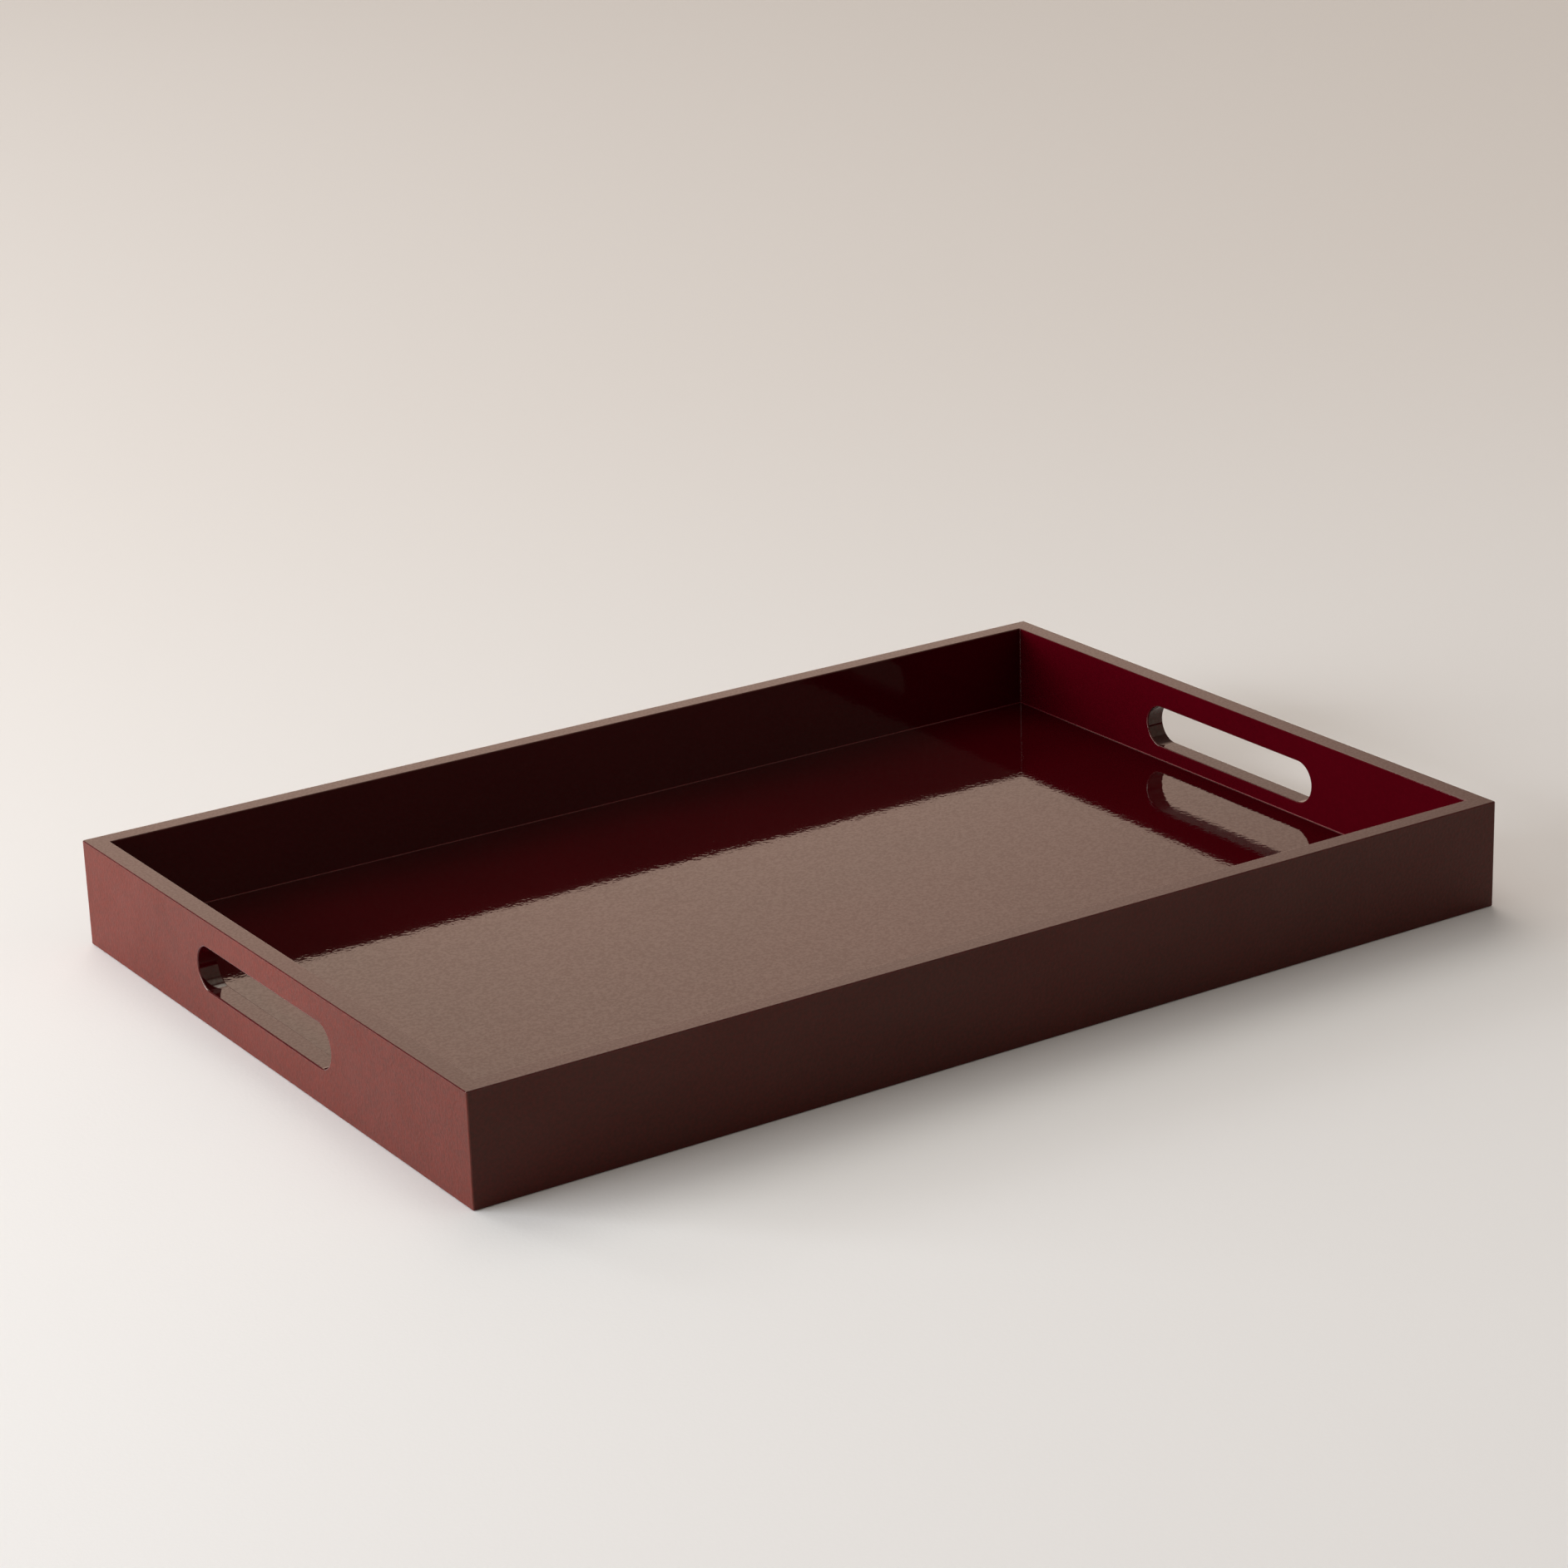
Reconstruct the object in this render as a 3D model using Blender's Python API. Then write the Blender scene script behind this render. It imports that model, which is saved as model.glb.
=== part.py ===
"""Rectangular lacquered serving tray with a finger slot through each short end.

Four board rails meet in mitres, each mitre held by a hidden wooden key. The rebated edge of the
base panel runs in a groove inside the rails, and a felt lining is glued up inside the recess
under the panel. The tray has no moving part.

Metres, +Z up. +X runs along the length, -Y is the front. The origin lies on the table, in the
middle of the tray's footprint.
"""
from math import atan2, cos, pi, sin, sqrt

import bmesh
import bpy
from mathutils import Matrix

MM = 0.001

# Overall plan
LENGTH = 500 * MM
WIDTH = 335 * MM
RAIL_THICKNESS = 9 * MM

# Heights, stacked from the table to the rim
LINING_CLEAR_OF_TABLE = 1.7 * MM
LINING_THICKNESS = 1.5 * MM
TONGUE_THICKNESS = 3 * MM
SHOULDER_HEIGHT = 3 * MM
SLOT_ABOVE_FLOOR = 6.5 * MM
SLOT_HEIGHT = 20 * MM
GRIP_BAR_HEIGHT = 11.5 * MM

# Finger slots
SLOT_LENGTH = 117 * MM
SLOT_EDGE_ROUND = 0.8 * MM

# How the base panel and the lining fit inside the rails
TONGUE_LENGTH = 4.5 * MM
LINING_SETBACK = 1 * MM

# Keys hidden in the mitres
KEY_THICKNESS = 2.5 * MM
KEY_WIDTH = 6 * MM
KEY_ABOVE_FLOOR = 2.5 * MM
KEY_BELOW_RIM = 6.5 * MM
KEY_COVER = 1.5 * MM

# Softened edges of the rails
RIM_ROUND = 0.6 * MM
FOOT_ROUND = 1.4 * MM
INNER_FOOT_ROUND = 0.6 * MM
CORNER_ROUND = 1 * MM

# Space between two faces that touch on the real tray
FIT_GAP = 0.3 * MM

# Steps in a quarter turn of each rounding, and in a slot's half-round end
RIM_STEPS = 3
FOOT_STEPS = 4
CORNER_STEPS = 4
SLOT_STEPS = 20
SLOT_EDGE_STEPS = 3

# Heights and half sizes that follow from the sizes above
PANEL_UNDERSIDE = LINING_CLEAR_OF_TABLE + LINING_THICKNESS + FIT_GAP
TONGUE_TOP = PANEL_UNDERSIDE + TONGUE_THICKNESS
FLOOR_TOP = TONGUE_TOP + SHOULDER_HEIGHT
SLOT_MIDDLE = FLOOR_TOP + SLOT_ABOVE_FLOOR + SLOT_HEIGHT / 2
HEIGHT = FLOOR_TOP + SLOT_ABOVE_FLOOR + SLOT_HEIGHT + GRIP_BAR_HEIGHT
GROOVE_DEPTH = TONGUE_LENGTH + FIT_GAP
INNER_HALF_LENGTH = LENGTH / 2 - RAIL_THICKNESS
INNER_HALF_WIDTH = WIDTH / 2 - RAIL_THICKNESS
MITRE_SETBACK = FIT_GAP / 2 * sqrt(2)

# Guides reach this far past the faces that they cut
CUT_PAST = 2 * MM


def clear_scene():
    for old in list(bpy.data.objects):
        bpy.data.objects.remove(old, do_unlink=True)


def finish(name, colour, roughness):
    """A Principled material with one colour and one roughness."""
    material = bpy.data.materials.new(name)
    material.use_nodes = True
    shader = material.node_tree.nodes["Principled BSDF"]
    shader.inputs["Base Color"].default_value = (*colour, 1)
    shader.inputs["Roughness"].default_value = roughness
    shader.inputs["Metallic"].default_value = 0
    return material


def oxblood_lacquer():
    return finish("oxblood_lacquer", (0.095, 0.009, 0.013), 0.16)


def key_wood():
    return finish("key_wood", (0.55, 0.38, 0.22), 0.6)


def lining_felt():
    return finish("lining_felt", (0.035, 0.022, 0.022), 0.95)


def lofted(name, rings):
    """A closed solid through rings of equally many points, flat at the first and the last ring."""
    mesh = bpy.data.meshes.new(name)
    body = bmesh.new()
    loops = [[body.verts.new(point) for point in ring] for ring in rings]
    for lower, upper in zip(loops, loops[1:]):
        for i in range(len(lower)):
            j = (i + 1) % len(lower)
            body.faces.new((lower[i], lower[j], upper[j], upper[i]))
    body.faces.new(list(reversed(loops[0])))
    body.faces.new(loops[-1])
    bmesh.ops.recalc_face_normals(body, faces=body.faces)
    body.to_mesh(mesh)
    body.free()
    part = bpy.data.objects.new(name, mesh)
    bpy.context.scene.collection.objects.link(part)
    return part


def as_guide(part):
    part.hide_render = True
    part.display_type = "WIRE"
    return part


def boolean(part, cutter, operation):
    step = part.modifiers.new(cutter.name, "BOOLEAN")
    step.operation = operation
    step.solver = "EXACT"
    step.object = cutter


def quarter_turn(centre, radius, start, steps):
    """Points on a quarter circle that turns to the left from the angle start."""
    angles = [start + pi / 2 * i / steps for i in range(steps + 1)]
    return [(centre[0] + radius * cos(a), centre[1] + radius * sin(a)) for a in angles]


def rounded_rectangle(half_x, half_y, radius, steps):
    corners = ((1, 1, 0), (-1, 1, pi / 2), (-1, -1, pi), (1, -1, 3 * pi / 2))
    outline = []
    for side_x, side_y, start in corners:
        centre = (side_x * (half_x - radius), side_y * (half_y - radius))
        outline += quarter_turn(centre, radius, start, steps)
    return outline


def rectangle(half_x, half_y):
    return [(half_x, half_y), (-half_x, half_y), (-half_x, -half_y), (half_x, -half_y)]


def rail_section():
    """The rail's cross-section as depth from the outer face and height above the table."""
    groove_floor = RAIL_THICKNESS - GROOVE_DEPTH
    groove_low = PANEL_UNDERSIDE - FIT_GAP
    groove_high = TONGUE_TOP + FIT_GAP
    inner_foot = (RAIL_THICKNESS - INNER_FOOT_ROUND, INNER_FOOT_ROUND)
    inner_rim = (RAIL_THICKNESS - RIM_ROUND, HEIGHT - RIM_ROUND)
    section = quarter_turn((FOOT_ROUND, FOOT_ROUND), FOOT_ROUND, pi, FOOT_STEPS)
    section += quarter_turn(inner_foot, INNER_FOOT_ROUND, 3 * pi / 2, RIM_STEPS)
    section += [(RAIL_THICKNESS, groove_low), (groove_floor, groove_low)]
    section += [(groove_floor, groove_high), (RAIL_THICKNESS, groove_high)]
    section += quarter_turn(inner_rim, RIM_ROUND, 0, RIM_STEPS)
    section += quarter_turn((RIM_ROUND, HEIGHT - RIM_ROUND), RIM_ROUND, pi / 2, RIM_STEPS)
    return section


def rail(name, outer_length, x, y, turn, material):
    """A mitred rail whose outer face is centred at x, y and faces -Y before it is turned."""
    ends = []
    for side in (-1, 1):
        reach = outer_length / 2 - MITRE_SETBACK
        ends.append([(side * (reach - depth), depth, z) for depth, z in rail_section()])
    part = lofted(name, ends)
    part.location = (x, y, 0)
    part.rotation_euler = (0, 0, turn)
    part.data.materials.append(material)
    return part


def corner_guide():
    """A block as large as the tray whose upright edges are rounded."""
    outline = rounded_rectangle(LENGTH / 2, WIDTH / 2, CORNER_ROUND, CORNER_STEPS)
    low, high = -CUT_PAST, HEIGHT + CUT_PAST
    return as_guide(lofted("corner_guide", [[(x, y, z) for x, y in outline] for z in (low, high)]))


def slot_outline(growth):
    """The slot's outline, straight above and below with half-round ends, made larger by growth."""
    end_centre = (SLOT_LENGTH - SLOT_HEIGHT) / 2
    radius = SLOT_HEIGHT / 2 + growth
    outline = []
    for side, start in ((1, -pi / 2), (-1, pi / 2)):
        angles = [start + pi * i / SLOT_STEPS for i in range(SLOT_STEPS + 1)]
        outline += [(side * end_centre + radius * cos(a), radius * sin(a)) for a in angles]
    return outline


def slot_guide(name, outer_x):
    """The finger slot through the end rail at outer_x, flared over the rounding of its edges."""
    inward = -1 if outer_x > 0 else 1
    stations = [(-CUT_PAST, SLOT_EDGE_ROUND)]
    for i in range(SLOT_EDGE_STEPS + 1):
        a = pi / 2 * i / SLOT_EDGE_STEPS
        stations.append((SLOT_EDGE_ROUND * (1 - cos(a)), SLOT_EDGE_ROUND * (1 - sin(a))))
    stations += [(RAIL_THICKNESS - depth, growth) for depth, growth in reversed(stations)]
    rings = []
    for depth, growth in stations:
        x = outer_x + inward * depth
        rings.append([(x, y, SLOT_MIDDLE + z) for y, z in slot_outline(growth)])
    return as_guide(lofted(name, rings))


def key_solid(name, side_x, side_y, grown):
    """A key across the mitre of one corner, or its pocket where grown is the clearance."""
    half_width = KEY_WIDTH / 2 + FIT_GAP
    half_thickness = KEY_THICKNESS / 2 + FIT_GAP
    mitre_length = RAIL_THICKNESS * sqrt(2)
    along = mitre_length - KEY_COVER * sqrt(2) - half_width - half_thickness
    x = side_x * (INNER_HALF_LENGTH + along / sqrt(2))
    y = side_y * (INNER_HALF_WIDTH + along / sqrt(2))
    low = FLOOR_TOP + KEY_ABOVE_FLOOR - grown
    high = HEIGHT - KEY_BELOW_RIM + grown
    outline = rectangle(KEY_THICKNESS / 2 + grown, KEY_WIDTH / 2 + grown)
    part = lofted(name, [[(px, py, z) for px, py in outline] for z in (low, high)])
    part.data.transform(Matrix.Rotation(atan2(side_y, side_x), 4, "Z"))
    part.location = (x, y, 0)
    return part


def base_panel(material):
    """The panel: a thin tongue all round, and the serving floor standing up inside the rails."""
    field = rectangle(INNER_HALF_LENGTH - FIT_GAP, INNER_HALF_WIDTH - FIT_GAP)
    tongue = rectangle(INNER_HALF_LENGTH + TONGUE_LENGTH, INNER_HALF_WIDTH + TONGUE_LENGTH)
    levels = ((tongue, PANEL_UNDERSIDE), (tongue, TONGUE_TOP), (field, TONGUE_TOP), (field, FLOOR_TOP))
    part = lofted("base_panel", [[(x, y, z) for x, y in outline] for outline, z in levels])
    part.data.materials.append(material)
    return part


def felt_lining(material):
    outline = rectangle(INNER_HALF_LENGTH - LINING_SETBACK, INNER_HALF_WIDTH - LINING_SETBACK)
    levels = (LINING_CLEAR_OF_TABLE, LINING_CLEAR_OF_TABLE + LINING_THICKNESS)
    part = lofted("felt_lining", [[(x, y, z) for x, y in outline] for z in levels])
    part.data.materials.append(material)
    return part


def build_tray():
    clear_scene()
    lacquer = oxblood_lacquer()
    wood = key_wood()
    rails = {
        "front_rail": rail("front_rail", LENGTH, 0, -WIDTH / 2, 0, lacquer),
        "rear_rail": rail("rear_rail", LENGTH, 0, WIDTH / 2, pi, lacquer),
        "left_end_rail": rail("left_end_rail", WIDTH, -LENGTH / 2, 0, -pi / 2, lacquer),
        "right_end_rail": rail("right_end_rail", WIDTH, LENGTH / 2, 0, pi / 2, lacquer),
    }
    rounding = corner_guide()
    for part in rails.values():
        boolean(part, rounding, "INTERSECT")
    boolean(rails["left_end_rail"], slot_guide("left_slot_guide", -LENGTH / 2), "DIFFERENCE")
    boolean(rails["right_end_rail"], slot_guide("right_slot_guide", LENGTH / 2), "DIFFERENCE")

    for row, side_y in (("front", -1), ("rear", 1)):
        for column, side_x in (("left", -1), ("right", 1)):
            key = key_solid(f"{row}_{column}_mitre_key", side_x, side_y, 0)
            key.data.materials.append(wood)
            pocket = as_guide(key_solid(f"{row}_{column}_pocket_guide", side_x, side_y, FIT_GAP))
            boolean(rails[f"{row}_rail"], pocket, "DIFFERENCE")
            boolean(rails[f"{column}_end_rail"], pocket, "DIFFERENCE")

    base_panel(lacquer)
    felt_lining(lining_felt())


build_tray()
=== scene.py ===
"""A serving tray of dark red lacquered board, standing on a pale table in a plain studio.

+X runs along the tray's length, -Y is its front, +Z is up. Metres throughout.
"""
from math import cos, pi, radians, sin

import bmesh
import bpy
from mathutils import Matrix, Quaternion, Vector


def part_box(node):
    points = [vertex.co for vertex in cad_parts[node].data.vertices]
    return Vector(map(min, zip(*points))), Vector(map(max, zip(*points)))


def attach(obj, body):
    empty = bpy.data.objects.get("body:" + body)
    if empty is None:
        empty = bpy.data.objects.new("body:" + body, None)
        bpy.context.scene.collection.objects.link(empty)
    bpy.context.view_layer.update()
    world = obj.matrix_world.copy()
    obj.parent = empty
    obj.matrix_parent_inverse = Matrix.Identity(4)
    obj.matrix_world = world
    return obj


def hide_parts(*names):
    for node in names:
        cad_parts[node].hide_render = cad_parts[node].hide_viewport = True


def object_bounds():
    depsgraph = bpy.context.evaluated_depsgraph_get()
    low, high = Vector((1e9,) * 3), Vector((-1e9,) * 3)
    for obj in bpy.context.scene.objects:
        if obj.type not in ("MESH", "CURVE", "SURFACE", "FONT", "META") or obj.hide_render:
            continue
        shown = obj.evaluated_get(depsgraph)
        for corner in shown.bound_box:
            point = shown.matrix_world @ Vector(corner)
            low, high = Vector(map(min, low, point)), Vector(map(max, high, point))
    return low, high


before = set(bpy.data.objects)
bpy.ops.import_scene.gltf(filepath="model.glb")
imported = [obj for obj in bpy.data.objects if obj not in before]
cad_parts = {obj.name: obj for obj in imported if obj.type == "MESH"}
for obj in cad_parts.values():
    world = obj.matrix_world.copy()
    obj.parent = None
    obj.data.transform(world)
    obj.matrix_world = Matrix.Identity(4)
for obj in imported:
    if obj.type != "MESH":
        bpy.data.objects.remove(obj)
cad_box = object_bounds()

scene = bpy.context.scene

# The camera stands in front of the tray and to its left. It is a long lens that looks down on
# the tray by about nineteen degrees, tipped a little to one side.
CAMERA_PLACE = Vector((-0.8785, -1.3602, 0.6341))
CAMERA_AIM = Vector((0.0982, 0.1535, 0))
CAMERA_LENS = 92.91
CAMERA_TIP = radians(-1.91)

camera = bpy.data.objects.new("camera", bpy.data.cameras.new("camera"))
scene.collection.objects.link(camera)
scene.camera = camera
camera.data.lens = CAMERA_LENS
camera.location = CAMERA_PLACE
camera.rotation_mode = "QUATERNION"
level_aim = (CAMERA_AIM - CAMERA_PLACE).to_track_quat("-Z", "Y")
camera.rotation_quaternion = level_aim @ Quaternion((0, 0, 1), CAMERA_TIP)

# The studio: a wide pale table, its colour painted darker and warmer towards the back as shade,
# two window panes to the tray's left, a low window beyond them and a soft lamp behind. Past the
# tray the wall is bright and warm with a glow above it. In front are a tall grey card and a dim
# pale wall, and the rest is dark under a pale ceiling.
TABLE_HALF_WIDTH = 30
TABLE_DROP = 0.0001
# The table's colour runs from the near colour at the front to a darker, warmer far colour further
# back: painted shade for the windows' light falling off.
TABLE_NEAR = (0.89, 0.906, 0.918, 1)
TABLE_FAR_PAINTED_SHADE = (0.80, 0.775, 0.75, 1)
TABLE_PAINTED_SHADE_FROM = -0.8
TABLE_PAINTED_SHADE_TO = 1.0
TABLE_TOOTH = 0.0016
TABLE_TOOTH_DEPTH = 0.00004
TABLE_ROUGHNESS = 0.9
TABLE_SPECULAR = 0.15
# Each light's name, width, height, watts, place and facing, and whether the lacquer mirrors it.
LIGHTS = (
    ("front_pane", 0.85, 0.9, 19.5, Vector((-1.7, 0.275, 0.5)), Vector((1, 0, 0)), True),
    ("back_pane", 0.85, 0.9, 26, Vector((-1.7, 1.125, 0.5)), Vector((1, 0, 0)), True),
    ("low_far_window", 2.4, 0.65, 37, Vector((-2.5, 2.2, 0.375)), Vector((1, 0, 0)), True),
    ("back_lamp", 0.8, 0.5, 15, Vector((-1.1, 3.1, 1.5)), Vector((2.0, -0.9, -1.5)), False),
)
LIGHT_COLOUR = (0.96, 0.985, 1.015)
DARK_WALL = (0.018, 0.016, 0.014)
HIGH_WALL = (0.19, 0.167, 0.143)
BRIGHT_WALL = (1.29, 0.955, 0.775)
GLOW = (2.45, 2.30, 2.12)
CARD = (0.44, 0.395, 0.35)
NEAR_WALL = (0.24, 0.213, 0.187)
CEILING = (1.07, 0.985, 0.91)
# Headings in degrees from +X, each with the cosines from it where the patch begins and is full.
BRIGHT_WALL_HEADING = (72, 0.80, 1.0)
GLOW_HEADING = (85, 0.72, 0.85)
CARD_HEADING = (-48, 0.90, 0.95)
NEAR_WALL_HEADING = (-102, 0.82, 0.97)
# Heights as sines of the elevation, each a blend from the first to the second.
NEAR_WALL_FOOT = (0.20, 0.45)
GLOW_FOOT = (0.57, 0.65)
CARD_FOOT = (0.09, 0.15)
CARD_TOP = (0.80, 0.88)
CEILING_FOOT = (0.87, 0.93)


def studio_table():
    mesh = bpy.data.meshes.new("studio_table")
    w = TABLE_HALF_WIDTH
    mesh.from_pydata([(-w, -w, 0), (w, -w, 0), (w, w, 0), (-w, w, 0)], [], [(0, 1, 2, 3)])
    table = bpy.data.objects.new("studio_table", mesh)
    table.location.z = -TABLE_DROP
    scene.collection.objects.link(table)
    paint = bpy.data.materials.new("studio_table")
    paint.use_nodes = True
    nodes, links = paint.node_tree.nodes, paint.node_tree.links
    shader = nodes["Principled BSDF"]
    shader.inputs["Roughness"].default_value = TABLE_ROUGHNESS
    shader.inputs["Specular IOR Level"].default_value = TABLE_SPECULAR
    # Painted shade: the table's colour darkens and warms along +Y.
    place = nodes.new("ShaderNodeTexCoord")
    split = nodes.new("ShaderNodeSeparateXYZ")
    depth = nodes.new("ShaderNodeMapRange")
    depth.interpolation_type = "SMOOTHSTEP"
    depth.inputs["From Min"].default_value = TABLE_PAINTED_SHADE_FROM
    depth.inputs["From Max"].default_value = TABLE_PAINTED_SHADE_TO
    tone = nodes.new("ShaderNodeMix")
    tone.data_type = "RGBA"
    tone.inputs["A"].default_value = TABLE_NEAR
    tone.inputs["B"].default_value = TABLE_FAR_PAINTED_SHADE
    links.new(place.outputs["Object"], split.inputs["Vector"])
    links.new(split.outputs["Y"], depth.inputs["Value"])
    links.new(depth.outputs["Result"], tone.inputs["Factor"])
    links.new(tone.outputs["Result"], shader.inputs["Base Color"])
    tooth = nodes.new("ShaderNodeTexNoise")
    tooth.inputs["Scale"].default_value = 1 / TABLE_TOOTH
    bump = nodes.new("ShaderNodeBump")
    bump.inputs["Distance"].default_value = TABLE_TOOTH_DEPTH
    links.new(place.outputs["Object"], tooth.inputs["Vector"])
    links.new(tooth.outputs["Fac"], bump.inputs["Height"])
    links.new(bump.outputs["Normal"], shader.inputs["Normal"])
    mesh.materials.append(paint)


def soft_light(name, width, height, power, place, facing, mirrored):
    lamp = bpy.data.objects.new(name, bpy.data.lights.new(name, "AREA"))
    lamp.data.shape = "RECTANGLE"
    lamp.data.size = width
    lamp.data.size_y = height
    lamp.data.energy = power
    lamp.data.color = LIGHT_COLOUR
    lamp.location = place
    lamp.rotation_euler = facing.to_track_quat("-Z", "Z").to_euler()
    lamp.visible_camera = False
    lamp.visible_glossy = mirrored
    scene.collection.objects.link(lamp)


def rising(nodes, links, value, start, stop):
    band = nodes.new("ShaderNodeMapRange")
    band.interpolation_type = "SMOOTHSTEP"
    band.inputs["From Min"].default_value = start
    band.inputs["From Max"].default_value = stop
    links.new(value, band.inputs["Value"])
    return band.outputs["Result"]


def heading_band(nodes, links, level, heading):
    """1 towards the heading, falling off between the two angles from it."""
    degrees, outer, inner = heading
    turned = nodes.new("ShaderNodeVectorMath")
    turned.operation = "DOT_PRODUCT"
    turned.inputs[1].default_value = (cos(radians(degrees)), sin(radians(degrees)), 0)
    links.new(level, turned.inputs[0])
    return rising(nodes, links, turned.outputs["Value"], outer, inner)


def blended(nodes, links, factor, under, over):
    both = nodes.new("ShaderNodeMix")
    both.data_type = "RGBA"
    links.new(factor, both.inputs["Factor"])
    for label, colour in (("A", under), ("B", over)):
        if isinstance(colour, tuple):
            both.inputs[label].default_value = (*colour, 1)
        else:
            links.new(colour, both.inputs[label])
    return both.outputs["Result"]


def studio_room():
    """The room's walls and ceiling, as the world behind the windows."""
    world = bpy.data.worlds.new("studio_room")
    scene.world = world
    world.use_nodes = True
    nodes, links = world.node_tree.nodes, world.node_tree.links
    place = nodes.new("ShaderNodeTexCoord").outputs["Generated"]
    flat = nodes.new("ShaderNodeVectorMath")
    flat.operation = "MULTIPLY"
    flat.inputs[1].default_value = (1, 1, 0)
    links.new(place, flat.inputs[0])
    level = nodes.new("ShaderNodeVectorMath")
    level.operation = "NORMALIZE"
    links.new(flat.outputs["Vector"], level.inputs[0])
    level = level.outputs["Vector"]
    split = nodes.new("ShaderNodeSeparateXYZ")
    links.new(place, split.inputs["Vector"])
    height = split.outputs["Z"]
    over_near_foot = rising(nodes, links, height, *NEAR_WALL_FOOT)
    over_glow_foot = rising(nodes, links, height, *GLOW_FOOT)
    over_card_foot = rising(nodes, links, height, *CARD_FOOT)
    over_card_top = rising(nodes, links, height, *CARD_TOP)
    over_ceiling_foot = rising(nodes, links, height, *CEILING_FOOT)
    near = heading_band(nodes, links, level, NEAR_WALL_HEADING)
    walls = blended(nodes, links, near, DARK_WALL, NEAR_WALL)
    walls = blended(nodes, links, over_near_foot, DARK_WALL, walls)
    bright = heading_band(nodes, links, level, BRIGHT_WALL_HEADING)
    walls = blended(nodes, links, bright, walls, BRIGHT_WALL)
    glowing = heading_band(nodes, links, level, GLOW_HEADING)
    upper = blended(nodes, links, glowing, HIGH_WALL, GLOW)
    room = blended(nodes, links, over_glow_foot, walls, upper)
    card = heading_band(nodes, links, level, CARD_HEADING)
    card_room = blended(nodes, links, card, room, CARD)
    card_room = blended(nodes, links, over_card_foot, room, card_room)
    room = blended(nodes, links, over_card_top, card_room, room)
    room = blended(nodes, links, over_ceiling_foot, room, CEILING)
    links.new(room, nodes["Background"].inputs["Color"])


studio_table()
for light in LIGHTS:
    soft_light(*light)
studio_room()
scene.view_settings.view_transform = "Standard"

# The base panel is a 6 mm fibreboard sheet whose rebated edge runs in the rails' grooves. It is
# sprayed after the tray is glued up and then polished, so its face is near a mirror and a small
# fillet of lacquer rounds its joint with the rails. The fillet's paler red is a painted highlight
# along that joint.
HALF_LENGTH, HALF_WIDTH, RIM_HEIGHT = cad_box[1]
RAIL_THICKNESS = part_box("front_rail")[1].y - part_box("front_rail")[0].y
PANEL_LOW, PANEL_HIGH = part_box("base_panel")
SERVING_FLOOR = PANEL_HIGH.z
TONGUE_THICKNESS = 0.003
FILLET = 0.0005
FILLET_STEPS = 10
LACQUER_OVERLAP = 0.00003
# The floor's red is painted darker than the rails' inside red: painted shade for the light it gets
# from above.
FLOOR_PAINTED_SHADE_RED = (0.037, 0.0004, 0.0019)
# The fillet's red is painted far paler than the floor's: a painted highlight line along the floor's
# joint with the rails.
FILLET_PAINTED_HIGHLIGHT_RED = (0.24, 0.014, 0.028)
# The thin red is partly the thinner, worn film on rounded edges and partly a painted highlight along
# them.
THIN_FILM_AND_HIGHLIGHT_RED = (0.26, 0.07, 0.06)
LACQUER_TINT = (1.0, 0.94, 0.76, 1)
BUFFED_ROUGHNESS = 0.04
POLISH_ROUGHNESS = 0.03
RIPPLES_PER_METRE = 450.0
NIBS_PER_METRE = 75
NIB_SHARE = 0.035
STIPPLE_PER_METRE = 700.0
CLOUDS_PER_METRE = 11.0
GRAIN_PER_METRE = 650.0
WEAR_PATCHES_PER_METRE = 60.0
SMEARS_PER_METRE = 17.0
SMEAR_STRETCH = (1, 2.2, 2.2)
SPECKS_PER_METRE = 800.0
WORN_DULLNESS = 0.04
WELD_DISTANCE = 1e-7
SLIVER_LENGTH = 1e-8
SHARP_ANGLE = radians(35)
FLATS_WEIGHT = 80


def rounded_ring(half_x, half_y, radius, z, steps):
    """A level ring of points round a rectangle whose corners have the radius."""
    ring = []
    for side_x, side_y, start in ((1, 1, 0), (-1, 1, pi / 2), (-1, -1, pi), (1, -1, 3 * pi / 2)):
        for i in range(steps + 1):
            a = start + pi / 2 * i / steps
            x = side_x * (half_x - radius) + radius * cos(a)
            y = side_y * (half_y - radius) + radius * sin(a)
            ring.append((x, y, z))
    return ring


def skinned_rings(rings, arris=(), wear=1.0, polished=()):
    """A closed bmesh skinned over rings of equally many points.

    The steps between rings that arris names are marked as rounded edges with the wear given,
    and those that polished names as buffed lacquer.
    """
    body = bmesh.new()
    edge_mark = body.faces.layers.float.new("arris")
    shine_mark = body.faces.layers.float.new("polished")
    loops = [[body.verts.new(p) for p in ring] for ring in rings]
    for step, (lower, upper) in enumerate(zip(loops, loops[1:])):
        for i in range(len(lower)):
            j = (i + 1) % len(lower)
            face = body.faces.new((lower[i], lower[j], upper[j], upper[i]))
            face[edge_mark] = wear if step in arris else 0
            face[shine_mark] = step in polished
    body.faces.new(loops[0][::-1])
    lid = body.faces.new(loops[-1])
    lid[shine_mark] = len(loops) - 1 in polished
    return body


def finished_mesh(name, body):
    """Welds a bmesh, turns its faces out and returns it as a mesh."""
    bmesh.ops.remove_doubles(body, verts=body.verts, dist=WELD_DISTANCE)
    bmesh.ops.dissolve_degenerate(body, edges=body.edges, dist=SLIVER_LENGTH)
    bmesh.ops.recalc_face_normals(body, faces=body.faces)
    mesh = bpy.data.meshes.new(name)
    body.to_mesh(mesh)
    body.free()
    return mesh


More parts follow.
